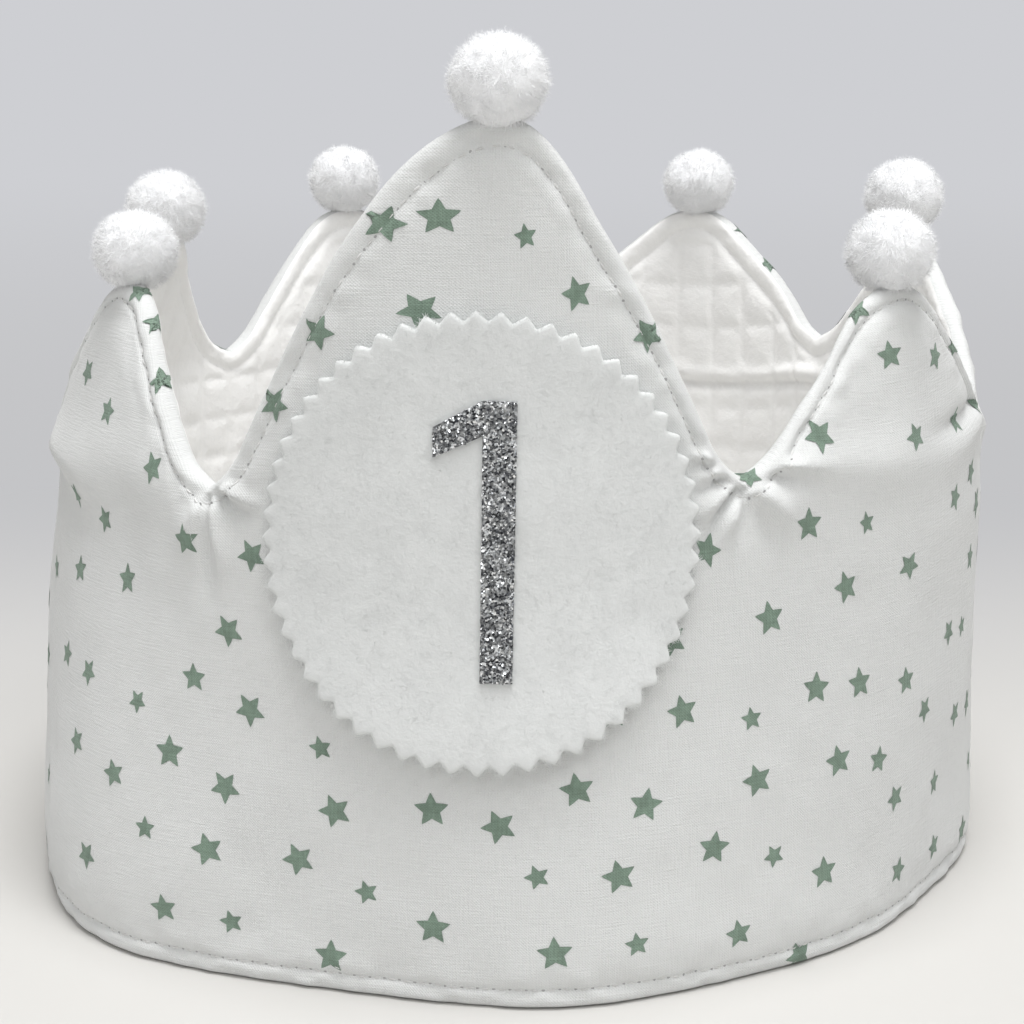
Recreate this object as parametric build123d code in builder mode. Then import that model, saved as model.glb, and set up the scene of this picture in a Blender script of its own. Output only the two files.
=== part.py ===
from build123d import *
from math import cos, pi, radians, sin, sqrt, tan
import os

# A sewn birthday crown, sizes in millimetres. It stands on its lower rim, +Z is up, the
# numbered badge faces -Y, and the origin is the centre of the ring on the table. An
# azimuth is measured about Z from the front, positive towards +X.

# The band
base_radius = 80.0
valley_radius = 77.5
valley_height = 74.0
wall = 4.4
cover_cloth = 0.8
lining_cloth = 1.1
seam_depth = 3.0
wadding_inset = 1.3
cover_rim_round = 1.7
lining_rim_round = 0.9

# The points: the front one is wider and taller than the other six
front_height = 125.0
front_half_angle = 30.0
front_slope = 1.76
front_tip_round = 13.0
front_valley_round = 4.0
side_height = 98.5
side_slope = 1.15
side_tip_round = 11.0
side_valley_round = 5.0

# Degrees that each point leans inwards above the valleys, from the front round past +X
front_lean = 1.7
right_front_lean = 6.6
right_rear_lean = 8.7
back_right_lean = 1.0
back_left_lean = -2.3
left_rear_lean = 22.0
left_front_lean = 13.6

# Pom-poms, each sewn down over a tip
pom_diameter = 15.0
pom_seat = 5.4
pom_gap = 0.35

# Felt badge with a pinked edge, and its number
badge_diameter = 64.5
badge_height = 67.3
badge_thickness = 1.8
tooth_count = 56
tooth_depth = 1.7
number_height = 39.0
number_thickness = 0.8
number_stroke = 4.5
number_offset = 2.1
number_slant = 0.9
flag_reach = 7.1
flag_drop = 3.7
flag_stroke = 4.1

# The back seam, and the strap with hook-and-loop tape that takes the ring in beside it
end_azimuth = 180.0
strap_height = 36.0
strap_middle = 53.5
strap_length = 60.0
strap_thickness = 1.5
strap_corner = 8.0
strap_root = 9.0
tape_height = 25.0
tape_length = 48.0
tape_thickness = 0.8
tape_corner = 1.5
tape_from_end = 7.0

# Cloth laid on cloth, and the reach of the radial cutting tools
laid_gap = 0.05
near_reach = 50.0
far_reach = 110.0

names = ["front", "right_front", "right_rear", "back_right", "back_left", "left_rear", "left_front"]
leans = [
    front_lean,
    right_front_lean,
    right_rear_lean,
    back_right_lean,
    back_left_lean,
    left_rear_lean,
    left_front_lean,
]
side_half_angle = (180 - front_half_angle) / 6
first_side = front_half_angle + side_half_angle
azimuths = [0.0] + [first_side + 2 * side_half_angle * step for step in range(6)]
half_angles = [front_half_angle] + [side_half_angle] * 6
heights = [front_height] + [side_height] * 6
slopes = [front_slope] + [side_slope] * 6
tip_rounds = [front_tip_round] + [side_tip_round] * 6
valley_rounds = [front_valley_round] + [side_valley_round] * 6


def radial_plane(azimuth, distance, height=0.0):
    """The upright plane that faces outwards at a distance from the crown's axis."""
    turn = radians(azimuth)
    outward = Vector(sin(turn), -cos(turn), 0)
    along = Vector(cos(turn), sin(turn), 0)
    return Plane(outward * distance + Vector(0, 0, height), x_dir=along, z_dir=outward)


def wall_radius(height, lean=0.0):
    """Outer radius of the band at a height, on a point with that lean."""
    climb = min(height / valley_height, 1)
    above = max(height - valley_height, 0)
    return base_radius + (valley_radius - base_radius) * climb - tan(radians(lean)) * above


def ring(depth):
    """Everything inside the surface that lies this deep under the cover's outer face."""
    levels = [0, valley_height / 2, valley_height, side_height, front_height + pom_gap]
    with BuildPart() as solid:
        for height in levels:
            knots = []
            for azimuth, half_angle, lean in zip(azimuths, half_angles, leans):
                for turn, tilt in ((azimuth, lean), (azimuth + half_angle, 0)):
                    radius = wall_radius(height, tilt) - depth
                    knots.append((radius * sin(radians(turn)), -radius * cos(radians(turn))))
            with BuildSketch(Plane.XY.offset(height)):
                with BuildLine():
                    Spline(*knots, periodic=True)
                make_face()
        loft()
    return solid.part


def shell(outer_depth, inner_depth):
    """The layer of the wall between two depths, negative ones outside the cover."""
    with BuildPart() as solid:
        add(ring(outer_depth))
        add(ring(inner_depth), mode=Mode.SUBTRACT)
    return solid.part


def point_outline(distance, index, inset):
    """Tip and right-hand corners of a point's outline, seen from the crown's axis."""
    slope, rise = slopes[index], sqrt(1 + slopes[index] ** 2)
    peak = heights[index] + slope * tip_rounds[index] / 2 - inset * rise
    low = valley_height - inset
    tip_reach = 2 * (peak - heights[index] + inset) / slope
    foot_reach = (peak - low) / slope
    flank_end = foot_reach - valley_rounds[index]
    edge_reach = radians(half_angles[index]) * valley_radius
    corners = [
        (tip_reach, peak - slope * tip_reach),
        (flank_end, peak - slope * flank_end),
        (foot_reach, low),
        (edge_reach, low),
        (edge_reach, inset),
    ]
    return (0, peak), [(distance * tan(reach / valley_radius), z) for reach, z in corners]


def outline(inset):
    """All that lies radially behind the crown's outline, drawn in by an inset."""
    with BuildPart() as solid:
        for index, azimuth in enumerate(azimuths):
            for distance in (near_reach, far_reach):
                peak, right = point_outline(distance, index, inset)
                left = [(-x, z) for x, z in right]
                with BuildSketch(radial_plane(azimuth, distance)):
                    with BuildLine():
                        Bezier(left[0], peak, right[0])
                        Line(right[0], right[1])
                        Bezier(right[1], right[2], right[3])
                        Line(right[3], right[4])
                        Line(right[4], left[4])
                        Line(left[4], left[3])
                        Bezier(left[3], left[2], left[1])
                        Line(left[1], left[0])
                    make_face()
            loft(ruled=True)
    return solid.part


def patch(start, length, middle, height, corner):
    """A rounded window cut radially, of a length round the band from an azimuth."""
    half = length / 2 / base_radius
    azimuth = start - half * 180 / pi
    with BuildPart() as solid:
        for distance in (near_reach, far_reach):
            with BuildSketch(radial_plane(azimuth, distance, middle)):
                RectangleRounded(2 * distance * tan(half), height, corner)
        loft(ruled=True)
    return solid.part


whole_outline = outline(0)

# Wadding: a stiff padded strip that stops short of every seam
with BuildPart() as wadding:
    add(shell(cover_cloth, wall - lining_cloth))
    add(outline(wadding_inset), mode=Mode.INTERSECT)

# Cover: printed cotton outside, rolled over every edge as far as the seam
with BuildPart() as outer_cover:
    add(shell(0, seam_depth))
    add(whole_outline, mode=Mode.INTERSECT)
    outside = outer_cover.faces().sort_by(SortBy.AREA)[-1]
    fillet(outside.edges(), radius=cover_rim_round)
    add(wadding.part, mode=Mode.SUBTRACT)

# Lining: waffle cotton inside, sewn to the cover along the seam
with BuildPart() as lining:
    add(shell(seam_depth, wall))
    add(whole_outline, mode=Mode.INTERSECT)
    inside = lining.faces().sort_by(SortBy.AREA)[-2]
    fillet(inside.edges(), radius=lining_rim_round)
    add(wadding.part, mode=Mode.SUBTRACT)

# Felt badge: cut round with pinking shears and laid on the front of the cover
with BuildPart() as felt_badge:
    with BuildSketch(radial_plane(0, near_reach, badge_height)):
        with BuildLine():
            teeth = []
            for step in range(2 * tooth_count):
                reach = badge_diameter / 2 - tooth_depth * (step % 2)
                turn = pi * step / tooth_count
                across = wall_radius(badge_height) * sin(
                    reach * cos(turn) / wall_radius(badge_height)
                )
                teeth.append((across, reach * sin(turn)))
            Polyline(*teeth, close=True)
        make_face()
    extrude(amount=far_reach - near_reach)
    badge_back = laid_gap
    badge_face = badge_back + badge_thickness
    add(shell(-badge_face, -badge_back), mode=Mode.INTERSECT)

# Number: one piece of glitter film on the badge
with BuildPart() as number_one:
    with BuildSketch(radial_plane(0, near_reach, badge_height)):
        with BuildLine():
            top, foot = number_height / 2, -number_height / 2
            right, left = number_offset + number_stroke / 2, number_offset - number_stroke / 2
            tip = left - flag_reach
            Polyline(
                (left, top),
                (right, top),
                (right - number_slant, foot),
                (left - number_slant, foot),
                (left, top - flag_stroke - flag_drop / 8),
                (tip, top - flag_stroke - flag_drop),
                (tip, top - flag_drop),
                close=True,
            )
        make_face()
    extrude(amount=far_reach - near_reach)
    number_back = badge_face + laid_gap
    number_face = number_back + number_thickness
    add(shell(-number_face, -number_back), mode=Mode.INTERSECT)

# Hook-and-loop: the loop tape is sewn to the cover, the hook tape to the strap
tape_start = end_azimuth - tape_from_end / base_radius * 180 / pi
tape_window = patch(tape_start, tape_length, strap_middle, tape_height, tape_corner)
loop_back = laid_gap
hook_back = loop_back + tape_thickness + laid_gap
strap_back = hook_back + tape_thickness + laid_gap
strap_face = strap_back + strap_thickness

with BuildPart() as loop_tape:
    add(shell(-loop_back - tape_thickness, -loop_back))
    add(tape_window, mode=Mode.INTERSECT)

with BuildPart() as hook_tape:
    add(shell(-hook_back - tape_thickness, -hook_back))
    add(tape_window, mode=Mode.INTERSECT)

# Closing strap: folded double at its root, where it is sewn down beside the end
root_start = end_azimuth + strap_root / base_radius * 180 / pi
strap_reach = strap_length + strap_root
with BuildPart() as strap_fold:
    add(shell(-strap_back, -laid_gap))
    add(
        patch(root_start, strap_root, strap_middle, strap_height, tape_corner),
        mode=Mode.INTERSECT,
    )

with BuildPart() as closing_strap:
    add(shell(-strap_face, -strap_back))
    add(
        patch(root_start, strap_reach, strap_middle, strap_height, strap_corner),
        mode=Mode.INTERSECT,
    )
    add(strap_fold.part)

# Pom-poms, each slotted over its tip and leaning with it
pom_poms = {}
for name, azimuth, height, lean in zip(names, azimuths, heights, leans):
    face = radial_plane(azimuth, wall_radius(height, lean) - wall / 2, height)
    tilt = radians(lean)
    upright = face.y_dir * cos(tilt) - face.z_dir * sin(tilt)
    with BuildPart(Plane(face.origin, x_dir=face.x_dir, z_dir=upright)) as pom_pom:
        with Locations((0, 0, pom_seat)):
            Sphere(pom_diameter / 2)
        with Locations((0, 0, pom_gap)):
            Box(
                pom_diameter,
                wall + 2 * pom_gap,
                pom_diameter,
                align=(Align.CENTER, Align.CENTER, Align.MAX),
                mode=Mode.SUBTRACT,
            )
    pom_poms[name] = pom_pom

os.makedirs("parts", exist_ok=True)
outer_cover.part.label = "outer_cover"
export_step(outer_cover.part, "parts/outer_cover.step")
wadding.part.label = "wadding"
export_step(wadding.part, "parts/wadding.step")
lining.part.label = "lining"
export_step(lining.part, "parts/lining.step")
felt_badge.part.label = "felt_badge"
export_step(felt_badge.part, "parts/felt_badge.step")
number_one.part.label = "number_one"
export_step(number_one.part, "parts/number_one.step")
loop_tape.part.label = "loop_tape"
export_step(loop_tape.part, "parts/loop_tape.step")
hook_tape.part.label = "hook_tape"
export_step(hook_tape.part, "parts/hook_tape.step")
closing_strap.part.label = "closing_strap"
export_step(closing_strap.part, "parts/closing_strap.step")
for name, pom_pom in pom_poms.items():
    pom_pom.part.label = "pom_pom_" + name
    export_step(pom_pom.part, "parts/pom_pom_" + name + ".step")
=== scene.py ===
import math

import bmesh
import bpy
import numpy as np
from mathutils import Matrix, Vector, noise
from mathutils.bvhtree import BVHTree


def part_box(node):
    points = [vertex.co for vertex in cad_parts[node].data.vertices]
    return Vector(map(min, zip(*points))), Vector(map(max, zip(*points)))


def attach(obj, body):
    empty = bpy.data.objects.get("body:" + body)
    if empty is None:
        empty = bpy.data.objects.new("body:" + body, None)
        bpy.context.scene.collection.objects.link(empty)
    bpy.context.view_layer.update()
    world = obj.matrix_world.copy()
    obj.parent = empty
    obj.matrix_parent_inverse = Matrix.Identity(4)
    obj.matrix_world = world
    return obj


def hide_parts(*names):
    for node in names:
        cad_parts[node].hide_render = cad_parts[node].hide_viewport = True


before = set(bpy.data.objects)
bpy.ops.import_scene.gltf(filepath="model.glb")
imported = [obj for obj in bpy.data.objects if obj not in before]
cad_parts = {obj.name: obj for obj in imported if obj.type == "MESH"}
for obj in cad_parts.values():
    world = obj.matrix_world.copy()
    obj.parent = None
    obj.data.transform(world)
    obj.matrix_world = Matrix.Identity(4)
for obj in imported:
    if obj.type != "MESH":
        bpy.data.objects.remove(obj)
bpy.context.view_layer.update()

# Lengths below are millimetres until a mesh is made. An azimuth is in degrees from the
# front of the crown, positive towards +X, and s is the length along the cloth to it.
MM = 0.001

# The wall, as the part's source has it but for the softer flanks of its points
BASE_RADIUS = 80.0
VALLEY_RADIUS = 77.5
ROUND = 2 * math.pi * VALLEY_RADIUS
VALLEY_HEIGHT = 74.0
WALL = 4.4
# Each shape is (half angle, tip height, flank slope, tip rounding, valley rounding)
FRONT_SHAPE = (30.0, 125.0, 1.69, 15.0, 3.0)
SIDE_SHAPE = (25.0, 98.5, 0.95, 10.0, 3.0)
# Each point is (name, azimuth, lean in degrees, shape), round from the back by the left
POINTS = [
    ("back_left", -155, -2.3, SIDE_SHAPE),
    ("left_rear", -105, 22.0, SIDE_SHAPE),
    ("left_front", -55, 13.6, SIDE_SHAPE),
    ("front", 0, 1.7, FRONT_SHAPE),
    ("right_front", 55, 6.6, SIDE_SHAPE),
    ("right_rear", 105, 8.7, SIDE_SHAPE),
    ("back_right", 155, 1.0, SIDE_SHAPE),
]
# Azimuths of the valleys, where the edge is clipped and gathers the cloth
VALLEYS = [-130, -80, -30, 30, 80, 130, 180]
# How far tips and valleys stand off their even places round the ring, in degrees
SHIFTS = [
    (-180, 0.0), (-155, 2.6), (-130, -1.4), (-105, -3.0), (-80, -1.0), (-55, 2.6),
    (-30, -2.0), (-15, -2.4), (0, 1.3), (13, -0.1), (30, -2.0), (41, -2.5), (48, -3.4),
    (55, -1.2), (80, 0.4), (105, 2.8), (130, 2.0), (142, -0.6), (155, -1.4), (180, 0.0),
]
# Where the lower rim stands out or in: (azimuth, width in degrees, millimetres)
BASE_LUMPS = [(-45, 20, 5.9), (7, 14.5, 3.3), (62, 13, -2.4), (92, 16, -1.4)]
# Where the wall is drawn in under the left valley, the same way
LEFT_PULL = (-88, 22, -3.2)

# The rolled rim and the rows of stitches
RIM_REACH = 1.5
RIM_BULGE = 1.8
SEAM_ANGLE = -38.0
EDGE_BAND = 5.6
STITCH_PITCH = 2.2
LOW_INSET = 2.9
INNER_INSET = 3.6

# The camera: the crown is turned a little to the left of its line
CAMERA_TURN = 2.56
CAMERA_DISTANCE = 396.0
CAMERA_HEIGHT = 145.0
CAMERA_PITCH = 13.0
CAMERA_ROLL = 0.23
FOCAL_PIXELS = 2380.0
PICTURE = 1024.0
SENSOR = 36.0


def smooth(low, high, value):
    """0 below low, 1 above high and a soft step between."""
    t = np.clip((value - low) / (high - low), 0, 1)
    return t * t * (3 - 2 * t)


def bell(away, width, power=2):
    """1 at nothing away, and next to nothing from a few widths on."""
    return np.exp(-((away / width) ** power))


def wrapped(value, whole=360.0):
    """The value moved by whole turns to within half a turn of 0."""
    return (value + whole / 2) % whole - whole / 2


def unit(vectors):
    return vectors / np.linalg.norm(vectors, axis=-1, keepdims=True)


def length_to(azimuth):
    return math.radians(azimuth) * VALLEY_RADIUS


def azimuth_at(s):
    return np.degrees(s / VALLEY_RADIUS)


NOISE_ROWS = 64


def soft_noise(s, z, cell, seed):
    """Smooth random values from -1 to 1 over the cloth, the same all round the ring."""
    cells = max(4, round(ROUND / cell))
    lattice = np.random.default_rng(seed).uniform(-1, 1, (cells, NOISE_ROWS))
    u, v = s / ROUND * cells, z / cell + 8
    i, j = np.floor(u).astype(int), np.floor(v).astype(int)
    a, b = smooth(0, 1, u - i), smooth(0, 1, v - j)
    i0, i1 = i % cells, (i + 1) % cells
    j0, j1 = np.clip(j, 0, NOISE_ROWS - 1), np.clip(j + 1, 0, NOISE_ROWS - 1)
    low = lattice[i0, j0] * (1 - a) + lattice[i1, j0] * a
    high = lattice[i0, j1] * (1 - a) + lattice[i1, j1] * a
    return low * (1 - b) + high * b


def from_valley(s):
    """Length along the cloth from the nearest valley, with its sign."""
    nearest = np.full_like(s, ROUND)
    for valley in VALLEYS:
        away = wrapped(s - length_to(valley), ROUND)
        nearest = np.where(np.abs(away) < np.abs(nearest), away, nearest)
    return nearest


def nearest_point(azimuth):
    """For each azimuth, its point's tilt and how near it is to that tip, 0 to 1."""
    turned = wrapped(azimuth)
    lean, share = np.zeros_like(turned), np.zeros_like(turned)
    for _, middle, tilt, shape in POINTS:
        away = np.abs(wrapped(turned - middle)) / shape[0]
        lean = np.where(away <= 1, math.tan(math.radians(tilt)) * (1 - away**3), lean)
        share = np.where(away <= 1, 0.5 * (1 + np.cos(math.pi * away)), share)
    return lean, share


def wall_radius(azimuth, z):
    """Outer radius of the wall, with the soft shape that the cloth has taken."""
    lean, _ = nearest_point(azimuth)
    climb = np.clip(z / VALLEY_HEIGHT, 0, 1)
    rise = z - VALLEY_HEIGHT
    # A point leans from a soft bend at the valleys' level, and the cloth bulges under it
    above = 0.5 * (rise + np.sqrt(rise * rise + 12.0)) - 0.6
    radius = BASE_RADIUS + (VALLEY_RADIUS - BASE_RADIUS) * climb - lean * np.maximum(above, 0)
    radius = radius + 2.5 * lean * bell(rise + 1.5, 5.0)
    for lumps, share in (([LEFT_PULL], smooth(35, 74, z)), (BASE_LUMPS, 1 - smooth(0, 70, z))):
        for middle, width, push in lumps:
            radius = radius + push * share * bell(wrapped(azimuth - middle), width)
    return radius


def bezier(a, b, c, t):
    """Points from a to c on a curve that b pulls on."""
    t = t[:, None]
    return np.array(a) * (1 - t) ** 2 + 2 * np.array(b) * t * (1 - t) + np.array(c) * t * t


def edge_outline():
    """The crown's upper edge as (s, z) all the way round."""
    parts = []
    for _, middle, _, (half, height, slope, tip_round, valley_round) in POINTS:
        peak = height + slope * tip_round / 2
        foot = (peak - VALLEY_HEIGHT) / slope
        knots = (
            (tip_round, peak - slope * tip_round),
            (foot - valley_round, peak - slope * (foot - valley_round)),
            (foot, VALLEY_HEIGHT),
            (length_to(half), VALLEY_HEIGHT),
        )
        tip, flank, bend, end = ((math.tan(x / VALLEY_RADIUS), level) for x, level in knots)
        steps = [np.linspace(0, 1, count, endpoint=False) for count in (40, 60, 50)]
        line = np.array(tip) * (1 - steps[1][:, None]) + np.array(flank) * steps[1][:, None]
        cap = bezier((-tip[0], tip[1]), (0, peak), tip, 0.5 + 0.5 * steps[0])
        right = np.concatenate([cap, line, bezier(flank, bend, end, steps[2])])
        whole = np.concatenate([[(-end[0], end[1])], right[:0:-1] * (-1, 1), right])
        whole[:, 0] = (math.radians(middle) + np.arctan(whole[:, 0])) * VALLEY_RADIUS
        parts.append(whole)
    s, z = np.concatenate(parts).T
    return s, z - 0.8 * bell(np.abs(from_valley(s)), 1.5, 1.3)


def inward(s, z):
    """Unit normals of a closed outline on the cloth, pointing into it."""
    before, after = np.roll(s, 1), np.roll(s, -1)
    before[0] -= ROUND
    after[-1] += ROUND
    ds, dz = after - before, np.roll(z, -1) - np.roll(z, 1)
    size = np.hypot(ds, dz)
    return dz / size, -ds / size


def closed(s, z):
    """A line round the ring with its first point again at its end."""
    return np.append(s, s[0] + ROUND), np.append(z, z[0])


def arc_lengths(steps):
    return np.concatenate([[0], np.cumsum(steps)])


def resampled_outline(step):
    """The edge at even steps, measured along a line half-way into the edge band."""
    s, z = edge_outline()
    ns, nz = inward(s, z)
    length = 0
    for line in ((s, z), (s + ns * EDGE_BAND, z + nz * EDGE_BAND)):
        length = length + np.hypot(*np.diff(closed(*line))) / 2
    along = arc_lengths(length * (1 + 1.3 * bell(from_valley(s), 8.0)))
    at = np.linspace(0, along[-1], round(along[-1] / step), endpoint=False)
    s, z = (np.interp(at, along, line) for line in closed(s, z))
    ns, nz = inward(s, z)
    for _ in range(3):
        ns = (np.roll(ns, 1) + 2 * ns + np.roll(ns, -1)) / 4
        nz = (np.roll(nz, 1) + 2 * nz + np.roll(nz, -1)) / 4
    size = np.hypot(ns, nz)
    return s, z, ns / size, nz / size


# Folds that gather at a valley, by its azimuth: (reach along s, reach in z, start out
# along s, start in z, width, height)
FOLDS = {
    -30: [
        (10.9, -3.3, 2.2, -0.2, 0.6, 1.2), (8.6, -1, 2.4, 0.5, 0.5, 0.7),
        (9.5, -5.2, 2, -1.8, 0.8, -0.9), (-6.5, 0.6, 0, -0.6, 0.6, -0.8),
        (-9, 2.6, -1, 0.8, 0.8, 0.7), (0.8, -19, 0.3, -2.5, 0.8, -1.1),
        (3.6, -18, 1.6, -3, 1.6, 1), (-2.8, -15, -0.8, -3, 1.2, 0.4),
        (-8, -13, -0.6, -4.5, 2.2, 0.8),
    ],
    30: [
        (-13, 4.4, -2.5, 1.9, 0.55, 1.1), (-12, 2.6, -2.2, 1.5, 0.6, -0.7),
        (-10.9, 0.6, -2, 1, 0.5, 0.7), (-10.6, -2.1, -1.4, 0, 0.6, -1),
        (15.4, -0.3, 2, 1.2, 0.7, 1.2), (14, -3, 2, -0.4, 1.1, -0.7),
        (44, -1.6, 13, 0.2, 3.4, 0.8), (-8.7, -9.1, -0.2, -1, 0.6, -1.3),
        (-6.3, -10, 0.6, -2.2, 1.1, 0.8), (-11, -6, -2, -2, 1.1, 0.7),
        (-1.3, -10, -0.5, -1.5, 0.6, -1), (10.9, -9.2, 1.4, -2.7, 2, 1),
        (4, -13, 0.8, -3, 1.2, -0.6),
    ],
    -80: [
        (44, -7, 14, -2, 3, 1.2), (38, -13, 12, -5.5, 2.6, -0.9), (1, -15, 0, -2, 1.1, -0.9),
        (-3.6, -14, -1, -3, 1.6, 0.8), (-12, -8, -2, -2, 1.6, -0.6),
    ],
    80: [
        (-34, 1.7, -4, 1, 1, -1.1), (-30, -3.9, -4, -1.4, 2.2, 0.6),
        (-6, -13, -0.6, -3, 1.2, -0.7), (0, -15, 0, -2, 1, -0.9), (10, -9, 1.5, -2, 1.6, 0.8),
    ],
}
for valley, last in ((130, 0.8), (-130, 0.7), (180, 0.8)):
    FOLDS[valley] = [(-9, -9, -1, -2, 1.4, 0.8), (0, -14, 0, -1.5, 1, -0.9)]
    FOLDS[valley].append((9, -8, 1, -2, 1.4, last))


def fold_height(s, z):
    """How far the gathered folds lift or sink the cloth."""
    total = np.zeros_like(s)
    s = s + 0.7 * soft_noise(s, z, 7, 51)
    for valley, folds in FOLDS.items():
        for reach_s, reach_z, start_s, start_z, width, height in folds:
            ds = wrapped(s - length_to(valley) - start_s, ROUND)
            dz = z - VALLEY_HEIGHT - start_z
            long_s, long_z = reach_s - start_s, reach_z - start_z
            size = math.hypot(long_s, long_z)
            along = (ds * long_s + dz * long_z) / size**2
            across = (-ds * long_z + dz * long_s) / size
            fade = smooth(-0.25, 0.1, along) * (1 - smooth(0.35, 1.1, along))
            spread = width * (1 + 0.8 * np.clip(along, 0, 1))
            total += height * fade * bell(np.abs(across), spread, 1.5)
    return 1.3 * total


def crushed(s):
    """0 to 1, the most on the flank of the right front point, where the rim lies flat."""
    return bell(wrapped(azimuth_at(s)) - 44, 9.5, 4)


def stitch_inset(s, z):
    """How far the outer row of stitches stands in from the edge."""
    azimuth = wrapped(azimuth_at(s))
    upper = 2.4 + 0.5 * (1 - smooth(26, 34, np.abs(azimuth))) - 0.6 * crushed(s)
    upper = upper + 0.9 * bell(azimuth, 8.0)
    return LOW_INSET + (upper - LOW_INSET) * smooth(20, 50, z)


def inner_inset(s, z):
    """The same for the row of stitches seen on the lining."""
    return np.full_like(s, INNER_INSET)


def rim_bulge(s, z):
    """Half the thickness of the rolled rim, uneven and pinched at the valleys."""
    uneven = 0.13 * soft_noise(s, z, 7.5, 41) + 0.12 * soft_noise(s, z, 2.4, 42)
    pinch = 0.12 * bell(from_valley(s), 2.2) + 0.5 * crushed(s)
    return RIM_BULGE * (1 + uneven - pinch * smooth(40, 60, z))


def outer_relief(s, z, reach):
    """Depth of the outer cloth under the plain wall, reach being the way to the edge."""
    past = reach - stitch_inset(s, z)
    groove = 0.34 * bell(past, 0.5)
    groove = groove * (1 - 0.7 * bell(from_valley(s), 5.0) * smooth(40, 60, z))
    rim = np.maximum(WALL / 2 - rim_bulge(s, z), 0.2)
    pull = rim * np.exp(-np.maximum(past, 0) / 1.6)
    body = smooth(2.0, 9.0, reach)
    puckers = 0.32 * soft_noise(s, z, 2.6, 4) * bell(reach - 3.6, 2.2)
    waves = 0.62 * soft_noise(s, z, 34, 1) + 0.34 * soft_noise(s, z, 15, 2)
    waves = waves + 0.15 * soft_noise(s, z, 6, 3)
    seam = 0.5 * bell(ROUND / 2 - np.abs(s), 0.7) * body
    folds = fold_height(s, z) * smooth(0.6, 2.4, reach)
    return groove + pull + puckers + seam - body * waves - folds


WAFFLE_CELL = 7.6
WAFFLE_DEPTH = 0.6


def waffle(s, z):
    """Depth of the lining's pressed lines under its soft squares."""
    depth = 0
    for across, share, seed in ((s, 1.0, 11), (z, 0.8, 12)):
        off = wrapped((across + 0.9 * soft_noise(s, z, 22, seed)) / WAFFLE_CELL, 1)
        depth = np.maximum(depth, share * bell(np.abs(off) * WAFFLE_CELL, 1.1, 1.4))
    return WAFFLE_DEPTH * depth


# The tape's two rows of stitches, seen inside as level creases from one azimuth to another
CREASE_LEVELS = (64.6, 41.0)
CREASE_START, CREASE_END = 124.0, 171.0


def tape_crease(s, z):
    """How far the tape's stitches pull the lining out, and the puff over them."""
    azimuth = azimuth_at(s) % 360
    inside = smooth(CREASE_START - 1, CREASE_START + 1, azimuth)
    inside = inside * (1 - smooth(CREASE_END - 1, CREASE_END + 1, azimuth))
    rows = 0
    for level in CREASE_LEVELS:
        rows = rows + 1.2 * bell(z - level, 0.8) - 0.7 * bell(z - level - 2.2, 1.5)
    return rows * inside


def inner_relief(s, z, reach):
    """Depth from the outer face of the lining, which bulges towards the head."""
    groove = 0.5 * bell(reach - INNER_INSET, 0.8)
    rim = np.maximum(WALL / 2 - rim_bulge(s, z), 0.2)
    pull = rim * np.exp(-np.maximum(reach - INNER_INSET, 0) / 3.0)
    body = smooth(3.8, 5.6, reach)
    waves = 0.3 * soft_noise(s, z, 30, 5) + 0.22 * soft_noise(s, z, 11, 6)
    waves = waves + 0.15 * soft_noise(s, z, 3.2, 7)
    return WALL - groove - pull + body * (waves - waffle(s, z)) - tape_crease(s, z)


def shift(azimuth, z):
    """Degrees that the cloth stands off its even place, nothing low on the band."""
    turned = wrapped(azimuth)
    total = np.zeros_like(turned)
    for (low, first), (high, second) in zip(SHIFTS, SHIFTS[1:]):
        inside = (turned >= low) & (turned < high)
        total = np.where(inside, first + (second - first) * smooth(low, high, turned), total)
    return total * smooth(25, 70, z)


def place(s, z, depth, steady=False):
    """World points, in metres, that lie a depth under the wall's plain outer face."""
    azimuth = azimuth_at(s)
    _, share = nearest_point(azimuth)
    settle = 2.0 * np.sin(np.radians(azimuth)) + 1.6 * smooth(100, 130, np.abs(azimuth))
    level = z + settle * (1 - share) * smooth(40, 74, z)
    radius = wall_radius(azimuth, z) - depth
    turn = np.radians(azimuth + (0 if steady else shift(azimuth, z)))
    return np.stack([radius * np.sin(turn), -radius * np.cos(turn), level], -1) * MM


def swell(turn):
    """How far the rolled rim stands out at an angle round it, squarer than a circle."""
    return np.sign(turn) * np.abs(np.sin(turn)) ** 0.85


def rim_row(edge, turn):
    """A row of the rolled rim, at an angle round it: 90 faces out and -90 faces in."""
    s, z, ns, nz = edge
    a = math.radians(turn)
    step = RIM_REACH * (1 - math.cos(a))
    return s + ns * step, z + nz * step, WALL / 2 - rim_bulge(s, z) * swell(a)


def lower_edge(s):
    """The lower edge, with the way into the cloth, as the upper one has it."""
    none = np.zeros_like(s)
    return s, none, none, none + 1


def wall_rows(edge, relief, bands, body_rows, turns):
    """Rows of one face of the wall, from the seam in the upper rim to that in the lower."""
    s, z, ns, nz = edge
    rows = [rim_row(edge, turn) for turn in turns]
    for reach in bands:
        rs, rz = s + ns * reach, z + nz * reach
        rows.append((rs, rz, relief(rs, rz, np.full_like(s, reach))))
    low_s, top_z = s + ns * EDGE_BAND, z + nz * EDGE_BAND
    for t in np.linspace(0, 1, body_rows + 2)[1:-1] ** 1.25:
        rz = top_z * (1 - t) + EDGE_BAND * t
        rows.append((low_s, rz, relief(low_s, rz, np.minimum(EDGE_BAND + (top_z - rz), rz))))
    for reach in bands[::-1]:
        rz = np.full_like(s, reach)
        rows.append((low_s, rz, relief(low_s, rz, rz)))
    return rows + [rim_row(lower_edge(low_s), turn) for turn in turns[::-1]]


def into_scene(obj):
    bpy.context.scene.collection.objects.link(obj)
    return obj


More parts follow.
